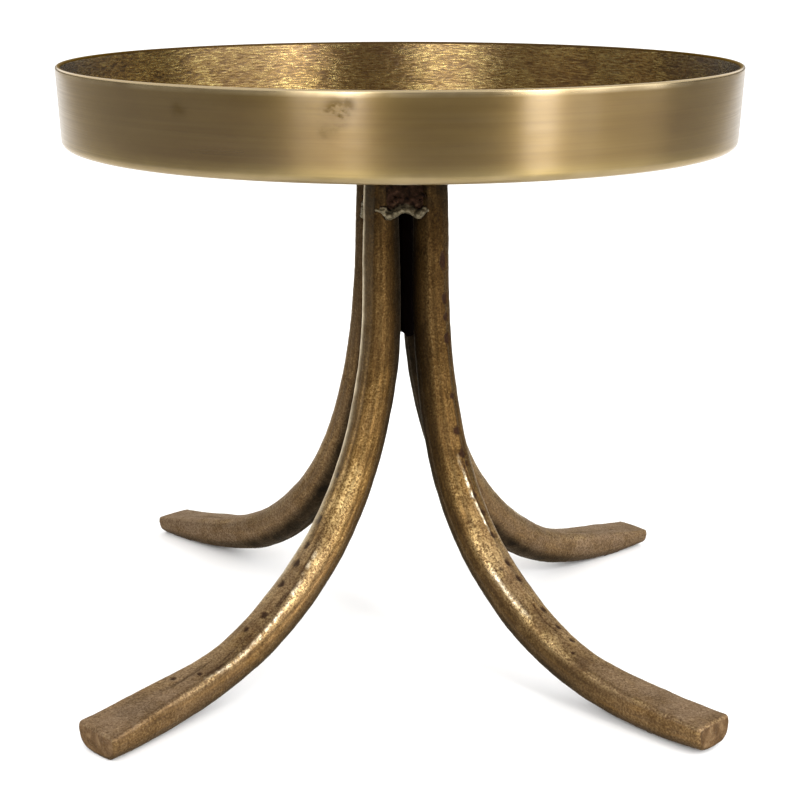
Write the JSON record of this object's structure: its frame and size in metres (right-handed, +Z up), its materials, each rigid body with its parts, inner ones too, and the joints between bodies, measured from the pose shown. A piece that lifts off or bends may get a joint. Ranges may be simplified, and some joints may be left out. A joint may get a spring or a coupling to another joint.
{
  "type": "tray table",
  "caption": "Low round accent table: a cast brass tray with an upright wall on a close cluster of sabre legs that sweep out to flared, flat-cut feet.",
  "frame": {"origin": "centre of the tray's axis at floor level", "axes": "+Z up, the front towards -Y, +X to the right seen from the front"},
  "size_m": [0.3986, 0.3986, 0.356],
  "materials": {
    "tray_brass": "antique brass, brushed outside, rough sand-cast inside",
    "leg_bronze": "dark antiqued cast brass with worn golden edges",
    "weld_metal": "lumpy grey-brown weld",
    "plate_metal": "dark antiqued plate, as sawn",
    "zinc_steel": "zinc-plated steel"
  },
  "bodies": {
    "root": {"tray": "tray_brass", "leg_front_left": "leg_bronze", "leg_front_right": "leg_bronze", "leg_rear_left": "leg_bronze", "leg_rear_right": "leg_bronze", "hub_core": "weld_metal", "weld_front": "weld_metal", "weld_right": "weld_metal", "weld_rear": "weld_metal", "weld_left": "weld_metal", "mounting_plate": "plate_metal", "plate_weld_1": "weld_metal", "plate_weld_2": "weld_metal", "plate_weld_3": "weld_metal", "plate_weld_4": "weld_metal", "plate_washer_1": "zinc_steel", "plate_washer_2": "zinc_steel", "plate_washer_3": "zinc_steel", "plate_washer_4": "zinc_steel", "plate_screw_1": "zinc_steel", "plate_screw_2": "zinc_steel", "plate_screw_3": "zinc_steel", "plate_screw_4": "zinc_steel"}
  },
  "joints": []
}
